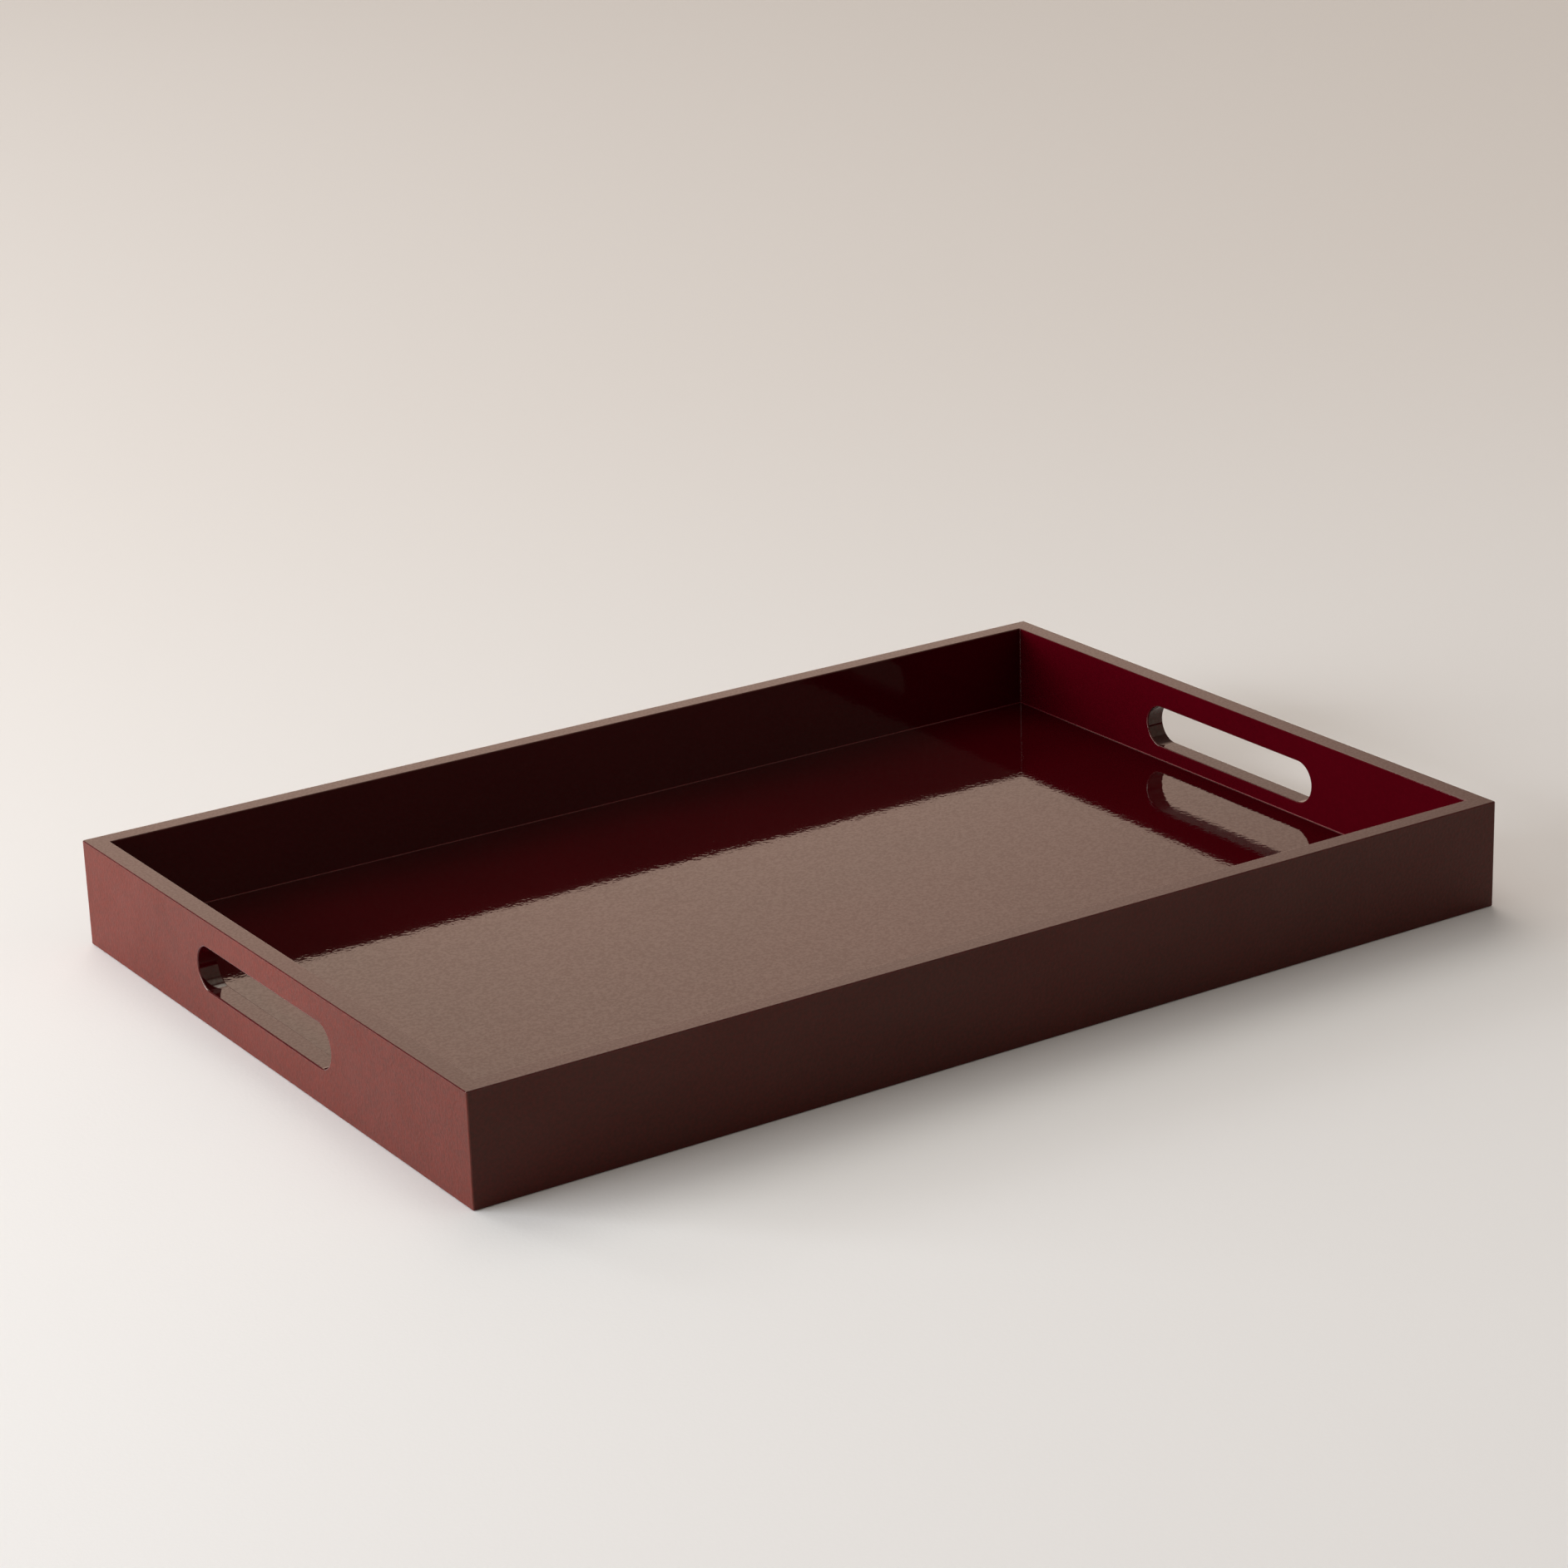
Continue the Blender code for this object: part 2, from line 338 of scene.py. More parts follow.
def fitted_piece(name, mesh, node, material):
    """Puts a mesh in the tray for a CAD node, with flats flat and roundings smooth."""
    piece = bpy.data.objects.new(name, mesh)
    scene.collection.objects.link(piece)
    mesh.materials.clear()
    mesh.materials.append(material)
    mesh.shade_smooth()
    mesh.set_sharp_from_angle(angle=SHARP_ANGLE)
    flats = piece.modifiers.new("flat faces stay flat", "WEIGHTED_NORMAL")
    flats.keep_sharp = True
    flats.weight = FLATS_WEIGHT
    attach(piece, "root")
    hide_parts(node)
    return piece


def shader_group(name, given, gives):
    """A shader node group with named inputs and outputs, with its two end nodes."""
    tree = bpy.data.node_groups.new(name, "ShaderNodeTree")
    for label, value in given:
        kind = "NodeSocketColor" if isinstance(value, tuple) else "NodeSocketFloat"
        socket = tree.interface.new_socket(label, in_out="INPUT", socket_type=kind)
        socket.default_value = value
    for label, kind in gives:
        tree.interface.new_socket(label, in_out="OUTPUT", socket_type="NodeSocket" + kind)
    start = tree.nodes.new("NodeGroupInput")
    end = tree.nodes.new("NodeGroupOutput")
    return tree, start.outputs, end.inputs


def joined(tree, value, socket):
    """Sets a socket to a number or colour, or links it to another socket."""
    if isinstance(value, bpy.types.NodeSocket):
        tree.links.new(value, socket)
    else:
        socket.default_value = value


def object_place(tree):
    return tree.nodes.new("ShaderNodeTexCoord").outputs["Object"]


def stretched_place(tree, stretch):
    node = tree.nodes.new("ShaderNodeVectorMath")
    node.operation = "MULTIPLY"
    node.inputs[1].default_value = stretch
    tree.links.new(object_place(tree), node.inputs[0])
    return node.outputs["Vector"]


def noise(tree, place, scale, detail=2.0, roughness=0.5):
    node = tree.nodes.new("ShaderNodeTexNoise")
    node.inputs["Detail"].default_value = detail
    node.inputs["Roughness"].default_value = roughness
    tree.links.new(place, node.inputs["Vector"])
    joined(tree, scale, node.inputs["Scale"])
    return node.outputs["Fac"]


def sum_of(tree, operation, a, b=0.0, c=0.0):
    node = tree.nodes.new("ShaderNodeMath")
    node.operation = operation
    for value, socket in zip((a, b, c), node.inputs):
        joined(tree, value, socket)
    return node.outputs["Value"]


def ramp(tree, value, start, stop, low=0.0, high=1.0):
    node = tree.nodes.new("ShaderNodeMapRange")
    node.interpolation_type = "SMOOTHSTEP"
    joined(tree, value, node.inputs["Value"])
    for label, end in (("From Min", start), ("From Max", stop), ("To Min", low), ("To Max", high)):
        joined(tree, end, node.inputs[label])
    return node.outputs["Result"]


def mixed(tree, factor, a, b):
    node = tree.nodes.new("ShaderNodeMix")
    node.data_type = "RGBA"
    for label, value in (("Factor", factor), ("A", a), ("B", b)):
        joined(tree, value, node.inputs[label])
    return node.outputs["Result"]


def face_mark(tree, name):
    """A mark that the meshes keep on each face, as a value from 0 to 1."""
    mark = tree.nodes.new("ShaderNodeAttribute")
    mark.attribute_name = name
    return mark.outputs["Fac"]


def level_mask(tree):
    """1 on faces that lie level and face up, where the film colour paints shade and the haze adds
    gloss.
    """
    facing = tree.nodes.new("ShaderNodeSeparateXYZ")
    normal = tree.nodes.new("ShaderNodeTexCoord").outputs["Normal"]
    tree.links.new(normal, facing.inputs["Vector"])
    return ramp(tree, facing.outputs["Z"], 0.3, 0.9)


def orange_peel_group():
    """The ripple that sprayed lacquer keeps after it has flowed out, and a few dust nibs."""
    tree, given, gives = shader_group(
        "orange peel",
        [
            ("Ripples per metre", RIPPLES_PER_METRE), ("Ripple", 1.0), ("Swell", 1.0), ("Nibs", 1.0),
            ("Satin mask", 0.0), ("Satin stipple", 1.0),
        ],
        [("Height", "Float")],
    )
    place = object_place(tree)
    ripple = noise(tree, place, given["Ripples per metre"], 1.0)
    swell_scale = sum_of(tree, "MULTIPLY", given["Ripples per metre"], 0.2)
    swell = noise(tree, place, swell_scale, 1.0)
    cells = tree.nodes.new("ShaderNodeTexVoronoi")
    cells.inputs["Scale"].default_value = NIBS_PER_METRE
    tree.links.new(place, cells.inputs["Vector"])
    nib = ramp(tree, cells.outputs["Distance"], NIB_SHARE, 0.0)
    height = sum_of(tree, "MULTIPLY", ripple, given["Ripple"])
    height = sum_of(tree, "ADD", height, sum_of(tree, "MULTIPLY", swell, given["Swell"]))
    height = sum_of(tree, "ADD", height, sum_of(tree, "MULTIPLY", nib, given["Nibs"]))
    stipple = noise(tree, place, STIPPLE_PER_METRE, 2.0)
    stipple = sum_of(tree, "MULTIPLY", stipple, given["Satin stipple"])
    height = sum_of(tree, "ADD", height, sum_of(tree, "MULTIPLY", stipple, given["Satin mask"]))
    tree.links.new(height, gives["Height"])
    return tree


def film_tone_and_painted_shade_group():
    """Lacquer colour: a darker red painted as shade on faces that lie level and face up, the satin
    and buffed reds each material gives, and random cloud and grain.
    """
    tree, given, gives = shader_group(
        "film tone and painted shade",
        [
            ("Level colour", (0.1, 0.0, 0.0, 1.0)), ("Buffed colour", (0.1, 0.0, 0.0, 1.0)),
            ("Satin colour", (0.1, 0.0, 0.0, 1.0)),
            ("Cloud", 0.1), ("Grain", 0.1), ("Satin grain", 0.1),
        ],
        [("Colour", "Color")],
    )
    place = object_place(tree)
    shine = face_mark(tree, "polished")
    colour = mixed(tree, shine, given["Satin colour"], given["Buffed colour"])
    # Faces that face up take the level red, which is darker: painted shade for the light they get
    # from above.
    colour = mixed(tree, level_mask(tree), colour, given["Level colour"])
    grain_strength = ramp(tree, shine, 0.0, 1.0, given["Satin grain"], given["Grain"])
    cloud = ramp(tree, noise(tree, place, CLOUDS_PER_METRE, 3.0), 0.3, 0.7, -1.0, 1.0)
    grain = ramp(tree, noise(tree, place, GRAIN_PER_METRE, 2.0), 0.3, 0.7, -1.0, 1.0)
    depth = sum_of(tree, "MULTIPLY_ADD", cloud, given["Cloud"], 1.0)
    depth = sum_of(tree, "ADD", depth, sum_of(tree, "MULTIPLY", grain, grain_strength))
    tone = tree.nodes.new("ShaderNodeHueSaturation")
    tree.links.new(colour, tone.inputs["Color"])
    tree.links.new(depth, tone.inputs["Value"])
    tree.links.new(tone.outputs["Color"], gives["Colour"])
    return tree


def edge_wear_and_highlight_group():
    """Rounded edges hold a thinner film and handling wears them a little in places; their paler red
    also paints a highlight along them.
    """
    tree, given, gives = shader_group(
        "edge wear and painted highlight",
        [("Colour", (0.1, 0.0, 0.0, 1.0)), ("Thin colour", (0.2, 0.0, 0.0, 1.0)), ("Amount", 0.5)],
        [("Colour", "Color"), ("Worn", "Float")],
    )
    patches = noise(tree, object_place(tree), WEAR_PATCHES_PER_METRE, 3.0)
    patches = ramp(tree, patches, 0.35, 0.75, 0.35, 1.0)
    wear_and_highlight = sum_of(tree, "MULTIPLY", face_mark(tree, "arris"), patches)
    thin = sum_of(tree, "MULTIPLY", wear_and_highlight, given["Amount"])
    tree.links.new(mixed(tree, thin, given["Colour"], given["Thin colour"]), gives["Colour"])
    tree.links.new(wear_and_highlight, gives["Worn"])
    return tree


def rubbing_group():
    """How dull the lacquer is: buffed inside, rubbed to a satin outside, with faint smears."""
    tree, given, gives = shader_group(
        "rubbing",
        [("Buffed", BUFFED_ROUGHNESS), ("Satin", 0.45), ("Worn", 0.0), ("Smears", 0.3)],
        [("Roughness", "Float"), ("Satin mask", "Float")],
    )
    shine = face_mark(tree, "polished")
    smears = noise(tree, stretched_place(tree, SMEAR_STRETCH), SMEARS_PER_METRE, 4.0, 0.6)
    smears = ramp(tree, smears, 0.3, 0.8)
    dullness = ramp(tree, shine, 0.0, 1.0, given["Satin"], given["Buffed"])
    spread = sum_of(tree, "MULTIPLY_ADD", smears, given["Smears"], 1.0)
    rough = sum_of(tree, "MULTIPLY", dullness, spread)
    rough = sum_of(tree, "MULTIPLY_ADD", given["Worn"], WORN_DULLNESS, rough)
    tree.links.new(rough, gives["Roughness"])
    tree.links.new(sum_of(tree, "SUBTRACT", 1.0, shine), gives["Satin mask"])
    return tree


def haze_group():
    """What polishing leaves: fine specks of brighter gloss, and an even gloss on level faces."""
    tree, given, gives = shader_group(
        "polishing haze",
        [("Specks per metre", SPECKS_PER_METRE), ("Strength", 0.2), ("Level gloss", 0.0)],
        [("Gloss", "Float")],
    )
    specks = noise(tree, object_place(tree), given["Specks per metre"], 2.0)
    gloss = sum_of(tree, "MULTIPLY", ramp(tree, specks, 0.38, 0.62), given["Strength"])
    gloss = sum_of(tree, "MULTIPLY_ADD", level_mask(tree), given["Level gloss"], gloss)
    gloss = sum_of(tree, "MULTIPLY", gloss, face_mark(tree, "polished"))
    tree.links.new(gloss, gives["Gloss"])
    return tree


ORANGE_PEEL = orange_peel_group()
HAZE = haze_group()
FILM_TONE_AND_PAINTED_SHADE = film_tone_and_painted_shade_group()
EDGE_WEAR_AND_HIGHLIGHT = edge_wear_and_highlight_group()
RUBBING = rubbing_group()


def placed_group(tree, group, **values):
    """A node group in a material, its inputs set by names with underscores for spaces."""
    node = tree.nodes.new("ShaderNodeGroup")
    node.node_tree = group
    for label, value in values.items():
        joined(tree, value, node.inputs[label.replace("_", " ")])
    return node


def lacquer(name, level, buffed, satin, satin_roughness, specular, ripple, stipple, level_gloss):
    """Sprayed lacquer, from its three reds, how dull its satin is and how deep its ripple. Its level
    red is painted shade for up-facing faces, and its satin red carries painted light, shade or a
    highlight.
    """
    paint = bpy.data.materials.new(name)
    paint.use_nodes = True
    tree = paint.node_tree
    shader = tree.nodes["Principled BSDF"]
    shader.inputs["IOR"].default_value = 1.5
    shader.inputs["Specular IOR Level"].default_value = specular
    shader.inputs["Specular Tint"].default_value = LACQUER_TINT
    shader.inputs["Coat Roughness"].default_value = POLISH_ROUGHNESS
    film = placed_group(
        tree, FILM_TONE_AND_PAINTED_SHADE, Level_colour=(*level, 1), Buffed_colour=(*buffed, 1),
        Satin_colour=(*satin, 1), Cloud=0.08, Grain=0.06, Satin_grain=0.17,
    )
    thin = placed_group(
        tree, EDGE_WEAR_AND_HIGHLIGHT,
        Colour=film.outputs["Colour"], Thin_colour=(*THIN_FILM_AND_HIGHLIGHT_RED, 1), Amount=0.4,
    )
    rub = placed_group(
        tree, RUBBING, Buffed=BUFFED_ROUGHNESS, Satin=satin_roughness,
        Worn=thin.outputs["Worn"], Smears=0.25,
    )
    peel = placed_group(
        tree, ORANGE_PEEL, Ripples_per_metre=RIPPLES_PER_METRE, Ripple=1.0, Swell=0.9, Nibs=0.6,
        Satin_mask=rub.outputs["Satin mask"], Satin_stipple=stipple,
    )
    bump = tree.nodes.new("ShaderNodeBump")
    bump.inputs["Distance"].default_value = ripple
    tree.links.new(thin.outputs["Colour"], shader.inputs["Base Color"])
    tree.links.new(rub.outputs["Roughness"], shader.inputs["Roughness"])
    haze = placed_group(
        tree, HAZE, Specks_per_metre=SPECKS_PER_METRE, Strength=0.22, Level_gloss=level_gloss
    )
    tree.links.new(haze.outputs["Gloss"], shader.inputs["Coat Weight"])
    tree.links.new(peel.outputs["Height"], bump.inputs["Height"])
    tree.links.new(bump.outputs["Normal"], shader.inputs["Normal"])
    tree.links.new(bump.outputs["Normal"], shader.inputs["Coat Normal"])
    return paint


def base_panel_mesh():
    inner_x = HALF_LENGTH - RAIL_THICKNESS + LACQUER_OVERLAP
    inner_y = HALF_WIDTH - RAIL_THICKNESS + LACQUER_OVERLAP
    tongue_top = PANEL_LOW.z + TONGUE_THICKNESS
    rings = []
    for z in (PANEL_LOW.z, tongue_top):
        rings.append(rounded_ring(PANEL_HIGH.x, PANEL_HIGH.y, 0, z, FILLET_STEPS))
    rings.append(rounded_ring(inner_x, inner_y, FILLET, tongue_top, FILLET_STEPS))
    for i in range(FILLET_STEPS + 1):
        a = pi / 2 * i / FILLET_STEPS
        inset = FILLET * (1 - cos(a))
        z = SERVING_FLOOR + FILLET * (1 - sin(a))
        half_x, half_y = inner_x - inset, inner_y - inset
        rings.append(rounded_ring(half_x, half_y, FILLET - inset, z, FILLET_STEPS))
    body = skinned_rings(rings, polished=(len(rings) - 1,))
    return finished_mesh("base_panel_lacquered", body)


floor_lacquer = lacquer(
    "serving floor lacquer", level=FLOOR_PAINTED_SHADE_RED, buffed=FLOOR_PAINTED_SHADE_RED, satin=FILLET_PAINTED_HIGHLIGHT_RED,
    satin_roughness=0.42, specular=0.45, ripple=0.000024, stipple=0.0, level_gloss=0.0,
)
panel_mesh = base_panel_mesh()
fitted_piece("base_panel_lacquered", panel_mesh, "base_panel", floor_lacquer)

# The four rails are 9 mm fibreboard, grooved for the panel, mitred at the corners and glued.
# Lacquer fills the mitres, so no joint shows. The inside is buffed bright and the outside is
# rubbed to a satin, whose red is painted darker as shade on the long rails and paler as light on
# the end rails. Each end rail has a finger slot cut through it, with its edges eased.
CORNER_ROUND = 0.0007
CORNER_STEPS = 9
RIM_ROUND = 0.0005
RIM_STEPS = 7
FOOT_ROUND = 0.0006
FOOT_STEPS = 8
INNER_FOOT_ROUND = 0.0006
GROOVE_CLEARANCE = 0.0003
GROOVE_DEPTH = PANEL_HIGH.x - (HALF_LENGTH - RAIL_THICKNESS) + GROOVE_CLEARANCE
SLOT_LENGTH = 0.117
SLOT_HEIGHT = 0.0192
SLOT_MIDDLE = 0.0258
SLOT_EDGE_ROUND = 0.0006
SLOT_EDGE_STEPS = 8
SLOT_STEPS = 48
CUT_PAST = 0.002
KEY_THICKNESS = 0.0025
KEY_WIDTH = 0.006
KEY_CLEARANCE = 0.0002
# The long rails' satin red is painted darker as shade for the front face away from the windows, and
# the end rails' red is painted paler as light for the window-lit left face.
LONG_RAIL_PAINTED_SHADE_RED = (0.057, 0.0007, 0.0008)
END_RAIL_PAINTED_LIGHT_RED = (0.098, 0.0035, 0.0002)
INSIDE_RED = (0.065, 0.0005, 0.0036)
# Level faces such as the rims and slot bottoms take this darker red: painted shade offsetting the
# light they catch from above.
LEVEL_FACE_PAINTED_SHADE_RED = (0.036, 0.0005, 0.0016)
RIM_SHINE = 0.88
EASED_EDGE_WEAR_AND_HIGHLIGHT = 0.3


def quarter_turn(centre_depth, centre_z, radius, start, steps):
    """Depths and heights along a quarter turn, to the left from the angle start."""
    angles = [start + pi / 2 * i / steps for i in range(steps + 1)]
    return [(centre_depth + radius * cos(a), centre_z + radius * sin(a)) for a in angles]


def rail_section():
    """Points round a rail's section, each with what the face after it is.

    A point is its depth from the outer face, its height, the corner of the tray's plan that
    it follows, and the marks (arris, polished) of the face up to the next point.
    """
    groove_low = PANEL_LOW.z - GROOVE_CLEARANCE
    groove_high = PANEL_LOW.z + TONGUE_THICKNESS + GROOVE_CLEARANCE
    groove_floor = RAIL_THICKNESS - GROOVE_DEPTH
    plain, bright, rim = (0, 0), (0, 1), (0, RIM_SHINE)
    foot_edge, rim_edge = (EASED_EDGE_WEAR_AND_HIGHLIGHT, 0), (EASED_EDGE_WEAR_AND_HIGHLIGHT, RIM_SHINE)
    section = []

    def rounding(points, follows, edge, last):
        marks = [edge] * (len(points) - 1) + [last]
        section.extend((d, z, follows, m) for (d, z), m in zip(points, marks))

    foot = quarter_turn(FOOT_ROUND, FOOT_ROUND, FOOT_ROUND, pi, FOOT_STEPS)
    rounding(foot, "outer", foot_edge, plain)
    inner_depth, inner_round = RAIL_THICKNESS - INNER_FOOT_ROUND, INNER_FOOT_ROUND
    inner_foot = quarter_turn(inner_depth, inner_round, inner_round, 3 * pi / 2, RIM_STEPS)
    rounding(inner_foot, "inner", foot_edge, plain)
    section.append((RAIL_THICKNESS, groove_low, "inner", plain))
    section.append((groove_floor, groove_low, "square", plain))
    section.append((groove_floor, groove_high, "square", plain))
    section.append((RAIL_THICKNESS, groove_high, "inner", bright))
    rim_height = RIM_HEIGHT - RIM_ROUND
    inner_rim = quarter_turn(RAIL_THICKNESS - RIM_ROUND, rim_height, RIM_ROUND, 0, RIM_STEPS)
    rounding(inner_rim, "inner", rim_edge, rim)
    outer_rim = quarter_turn(RIM_ROUND, rim_height, RIM_ROUND, pi / 2, RIM_STEPS)
    rounding(outer_rim, "outer", rim_edge, plain)
    return section


def half_corner(outer_half, depth, follows):
    """Along and depth of the points that turn from the straight face to the mitre."""
    inner_middle = RAIL_THICKNESS + FILLET
    if follows == "outer" and depth < CORNER_ROUND:
        radius, middle = CORNER_ROUND - depth, CORNER_ROUND
    elif follows == "inner":
        radius, middle = inner_middle - depth, inner_middle
    else:
        radius, middle = 0, depth
    angles = [pi / 4 * i / CORNER_STEPS for i in range(CORNER_STEPS + 1)]
    return [(outer_half - middle + radius * sin(a), middle - radius * cos(a)) for a in angles]


def rail_mesh(name, outer_half):
    """A rail that lies along X with its outer face at y = 0 and its depth towards +Y."""
    body = bmesh.new()
    edge_mark = body.faces.layers.float.new("arris")
    shine_mark = body.faces.layers.float.new("polished")
    section = rail_section()
    rows = []
    for depth, z, follows, marks in section:
        right = half_corner(outer_half, depth, follows)
        row = [(-x, y, z) for x, y in reversed(right)] + [(x, y, z) for x, y in right]
        rows.append([body.verts.new(p) for p in row])
    for i, (depth, z, follows, marks) in enumerate(section):
        lower, upper = rows[i], rows[(i + 1) % len(rows)]
        for k in range(len(lower) - 1):
            face = body.faces.new((lower[k], lower[k + 1], upper[k + 1], upper[k]))
            on_corner = k < CORNER_STEPS or k > CORNER_STEPS
            # The outer corners' rounding takes the full arris mark, so its paler red paints a
            # highlight line down each corner as well as wear.
            face[edge_mark] = 1 if on_corner and depth < CORNER_ROUND else marks[0]
            face[shine_mark] = marks[1]
    body.faces.new([row[0] for row in rows])
    body.faces.new([row[-1] for row in reversed(rows)])
    return finished_mesh(name, body)


def slot_cutter():
    """The finger slot, flared at both faces by the easing of its edges, along local Y."""
    stations = [(-CUT_PAST, SLOT_EDGE_ROUND)]
    for i in range(SLOT_EDGE_STEPS + 1):
        a = pi / 2 * i / SLOT_EDGE_STEPS
        stations.append((SLOT_EDGE_ROUND * (1 - cos(a)), SLOT_EDGE_ROUND * (1 - sin(a))))
    stations += [(RAIL_THICKNESS - depth, growth) for depth, growth in reversed(stations)]
    half_straight = (SLOT_LENGTH - SLOT_HEIGHT) / 2
    rings = []
    for depth, growth in stations:
        radius = SLOT_HEIGHT / 2 + growth
        ring = []
        for side, start in ((1, -pi / 2), (-1, pi / 2)):
            for i in range(SLOT_STEPS + 1):
                a = start + pi * i / SLOT_STEPS
                x = side * half_straight + radius * cos(a)
                ring.append((x, depth, SLOT_MIDDLE + radius * sin(a)))
        rings.append(ring)
    last = len(stations) - 2
    eased = [*range(1, 1 + SLOT_EDGE_STEPS), *range(last - SLOT_EDGE_STEPS, last)]
    slot = skinned_rings(rings, arris=eased, wear=EASED_EDGE_WEAR_AND_HIGHLIGHT, polished=range(1, last))
    return finished_mesh("slot cutter", slot)


def key_cutter(node):
    """The pocket that a mitre key's end fills, across the mitre of one corner of the tray."""
    low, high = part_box(node)
    middle = (low + high) / 2
    w = KEY_THICKNESS / 2 + KEY_CLEARANCE
    d = KEY_WIDTH / 2 + KEY_CLEARANCE
    rings = []
    for z in (low.z - KEY_CLEARANCE, high.z + KEY_CLEARANCE):
        rings.append([(-w, -d, z), (w, -d, z), (w, d, z), (-w, d, z)])
    mesh = finished_mesh("key cutter", skinned_rings(rings))
    turn = pi / 4 if middle.x * middle.y > 0 else -pi / 4
    mesh.transform(Matrix.Translation((middle.x, middle.y, 0)) @ Matrix.Rotation(turn, 4, "Z"))
    return mesh


def cut(mesh, cutter_mesh):
    """The mesh with the cutter's shape taken out of it, as a new mesh."""
    part = bpy.data.objects.new("cut piece", mesh)
    cutter = bpy.data.objects.new("cutter", cutter_mesh)
    for thing in (part, cutter):
        scene.collection.objects.link(thing)
    step = part.modifiers.new("cut", "BOOLEAN")
    step.operation = "DIFFERENCE"
    step.solver = "EXACT"
    step.object = cutter
    bpy.context.view_layer.update()
    evaluated = part.evaluated_get(bpy.context.evaluated_depsgraph_get())
    result = bpy.data.meshes.new_from_object(evaluated)
    for thing in (part, cutter):
        bpy.data.objects.remove(thing)
    return result


# The two rail lacquers are shaded and lit copies of one lacquer.
long_lacquer_painted_shade = lacquer(
    "long rail lacquer with painted shade", level=LEVEL_FACE_PAINTED_SHADE_RED, buffed=INSIDE_RED, satin=LONG_RAIL_PAINTED_SHADE_RED,
    satin_roughness=0.39, specular=0.315, ripple=0.000014, stipple=10.0, level_gloss=0.09,
)
end_lacquer_painted_light = lacquer(
    "end rail lacquer with painted light", level=LEVEL_FACE_PAINTED_SHADE_RED, buffed=INSIDE_RED, satin=END_RAIL_PAINTED_LIGHT_RED,
    satin_roughness=0.45, specular=0.375, ripple=0.000014, stipple=10.0, level_gloss=0.02,
)
rails = (
    ("front_rail", (0, -HALF_WIDTH), 0, ("front_left", "front_right")),
    ("rear_rail", (0, HALF_WIDTH), pi, ("rear_left", "rear_right")),
    ("left_end_rail", (-HALF_LENGTH, 0), -pi / 2, ("front_left", "rear_left")),
    ("right_end_rail", (HALF_LENGTH, 0), pi / 2, ("front_right", "rear_right")),
)
for node, (x, y), turn, corners in rails:
    if "end" in node:
        paint = end_lacquer_painted_light
        mesh = cut(rail_mesh(node, HALF_WIDTH), slot_cutter())
    else:
        paint = long_lacquer_painted_shade
        mesh = rail_mesh(node, HALF_LENGTH)
    mesh.transform(Matrix.Translation((x, y, 0)) @ Matrix.Rotation(turn, 4, "Z"))
    for corner in corners:
        mesh = cut(mesh, key_cutter(corner + "_mitre_key"))
    mesh.name = node + "_lacquered"
    fitted_piece(node + "_lacquered", mesh, node, paint)

# The mitre keys are loose beech tongues, one glued upright into each corner's two pockets.
# Their long edges are rounded and shallow flutes down their faces let the glue out.
KEY_EDGE_STEPS = 8
KEY_END_ROUND = 0.0004
FLUTE_DEPTH = 0.0002
FLUTE_COUNT = 4
BEECH = (0.50, 0.33, 0.19, 1)
BEECH_DARK = (0.36, 0.215, 0.115, 1)
BEECH_FLECK = (0.27, 0.15, 0.08, 1)
BEECH_BANDS = (900, 900, 25)
BEECH_RAYS = (3200, 3200, 420)
BEECH_PORE_DEPTH = 0.00003


def key_outline(shrink):
    """Half-round edges joined by fluted faces, seen from the end, with its width along Y."""
    half_thickness = KEY_THICKNESS / 2 - shrink
    straight = KEY_WIDTH / 2 - KEY_THICKNESS / 2
    outline = []
    for side, start in ((1, 0), (-1, pi)):
        for i in range(KEY_EDGE_STEPS + 1):
            a = start + pi * i / KEY_EDGE_STEPS
            outline.append((half_thickness * cos(a), side * straight + half_thickness * sin(a)))
        steps = FLUTE_COUNT * 4
        for i in range(1, steps):
            along = side * straight * (1 - 2 * i / steps)
            dip = FLUTE_DEPTH * max(0.0, sin(2 * pi * FLUTE_COUNT * i / steps))
            outline.append((-side * (half_thickness - dip), along))
    return outline


def key_mesh(node):
    low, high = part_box(node)
    middle = (low + high) / 2
    stations = [(low.z, KEY_END_ROUND), (low.z + KEY_END_ROUND, 0)]
    stations += [(high.z - KEY_END_ROUND, 0), (high.z, KEY_END_ROUND)]
    rings = [[(x, y, z) for x, y in key_outline(shrink)] for z, shrink in stations]
    mesh = finished_mesh(node + "_beech", skinned_rings(rings))
    turn = pi / 4 if middle.x * middle.y > 0 else -pi / 4
    mesh.transform(Matrix.Translation((middle.x, middle.y, 0)) @ Matrix.Rotation(turn, 4, "Z"))
    return mesh


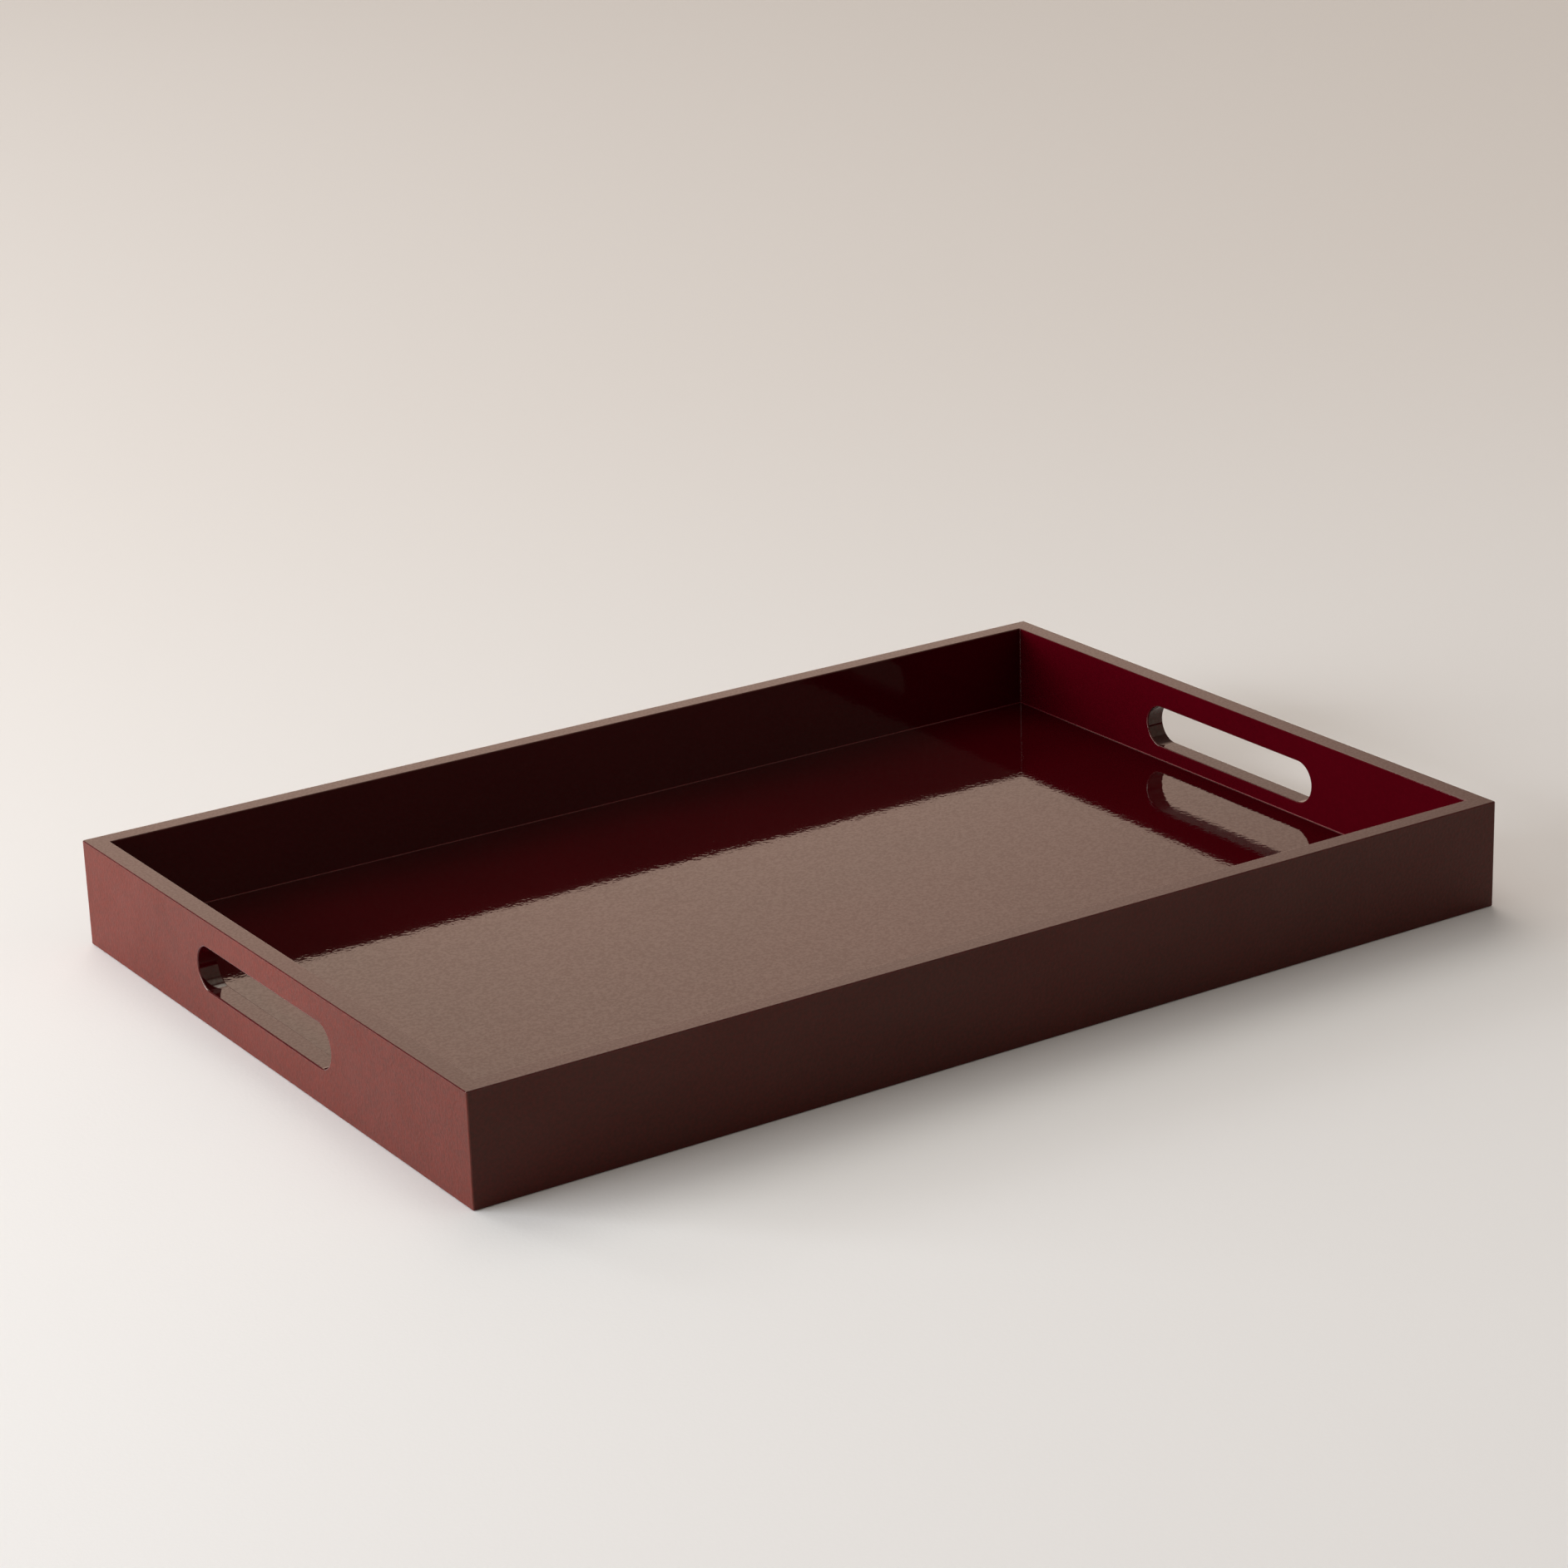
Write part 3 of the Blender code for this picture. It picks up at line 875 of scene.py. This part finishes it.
def beech():
    """Straight-grained beech: long pale and darker bands, with short dark ray flecks."""
    wood = bpy.data.materials.new("key beech")
    wood.use_nodes = True
    tree = wood.node_tree
    shader = tree.nodes["Principled BSDF"]
    shader.inputs["Specular IOR Level"].default_value = 0.3
    bands = ramp(tree, noise(tree, stretched_place(tree, BEECH_BANDS), 1.0, 3.0), 0.35, 0.65)
    flecks = ramp(tree, noise(tree, stretched_place(tree, BEECH_RAYS), 1.0, 1.0), 0.63, 0.70)
    grain = mixed(tree, bands, BEECH, BEECH_DARK)
    colour = mixed(tree, sum_of(tree, "MULTIPLY", flecks, 0.6), grain, BEECH_FLECK)
    rough = ramp(tree, bands, 0.0, 1.0, 0.55, 0.7)
    bump = tree.nodes.new("ShaderNodeBump")
    bump.inputs["Distance"].default_value = BEECH_PORE_DEPTH
    tree.links.new(sum_of(tree, "SUBTRACT", bands, flecks), bump.inputs["Height"])
    tree.links.new(colour, shader.inputs["Base Color"])
    tree.links.new(rough, shader.inputs["Roughness"])
    tree.links.new(bump.outputs["Normal"], shader.inputs["Normal"])
    return wood


key_beech = beech()
for corner in ("front_left", "front_right", "rear_left", "rear_right"):
    node = corner + "_mitre_key"
    fitted_piece(node + "_beech", key_mesh(node), node, key_beech)

# The lining is one sheet of wool felt, 1.5 mm thick, glued up under the base panel inside the
# rails. It keeps the panel from ringing and stays just clear of the table.
FELT_LOW, FELT_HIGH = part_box("felt_lining")
FELT_THICKNESS = FELT_HIGH.z - FELT_LOW.z
FELT_GLUE_GAP = 0.00002
FELT_CORNER = 0.006
FELT_CORNER_STEPS = 10
FELT_EDGE_ROUND = 0.0005
FELT_EDGE_STEPS = 4
FELT_DARK = (0.021, 0.014, 0.014, 1)
FELT_PALE = (0.064, 0.043, 0.040, 1)
FELT_FIBRE_LAYS = ((3800, 700, 1500), (700, 3800, 1500), (2100, 2100, 1500))
FELT_MATTING_PER_METRE = 55.0
FELT_NAP = 0.00025


def felt_mesh():
    top = PANEL_LOW.z - FELT_GLUE_GAP
    stations = [(top, 0), (top - FELT_THICKNESS + FELT_EDGE_ROUND, 0)]
    for i in range(1, FELT_EDGE_STEPS + 1):
        a = pi / 2 * i / FELT_EDGE_STEPS
        z = top - FELT_THICKNESS + FELT_EDGE_ROUND * (1 - sin(a))
        stations.append((z, FELT_EDGE_ROUND * (1 - cos(a))))
    rings = []
    for z, inset in stations:
        half_x, half_y = FELT_HIGH.x - inset, FELT_HIGH.y - inset
        rings.append(rounded_ring(half_x, half_y, FELT_CORNER - inset, z, FELT_CORNER_STEPS))
    return finished_mesh("felt_lining_glued", skinned_rings(rings))


def felt():
    """Short matted fibres that cross at all angles, with thin and thick places."""
    cloth = bpy.data.materials.new("lining felt")
    cloth.use_nodes = True
    tree = cloth.node_tree
    shader = tree.nodes["Principled BSDF"]
    shader.inputs["Specular IOR Level"].default_value = 0.15
    shader.inputs["Sheen Weight"].default_value = 0.35
    shader.inputs["Sheen Roughness"].default_value = 0.45
    fibres = None
    for stretch in FELT_FIBRE_LAYS:
        lay = ramp(tree, noise(tree, stretched_place(tree, stretch), 1.0, 2.0, 0.6), 0.40, 0.68)
        fibres = lay if fibres is None else sum_of(tree, "MAXIMUM", fibres, lay)
    matting = noise(tree, object_place(tree), FELT_MATTING_PER_METRE, 4.0, 0.6)
    matting = ramp(tree, matting, 0.3, 0.7)
    tone = sum_of(tree, "MULTIPLY_ADD", matting, 0.35, sum_of(tree, "MULTIPLY", fibres, 0.65))
    bump = tree.nodes.new("ShaderNodeBump")
    bump.inputs["Distance"].default_value = FELT_NAP
    tree.links.new(tone, bump.inputs["Height"])
    tree.links.new(mixed(tree, tone, FELT_DARK, FELT_PALE), shader.inputs["Base Color"])
    tree.links.new(ramp(tree, tone, 0.0, 1.0, 0.86, 1.0), shader.inputs["Roughness"])
    tree.links.new(bump.outputs["Normal"], shader.inputs["Normal"])
    return cloth


lining = fitted_piece("felt_lining_glued", felt_mesh(), "felt_lining", felt())
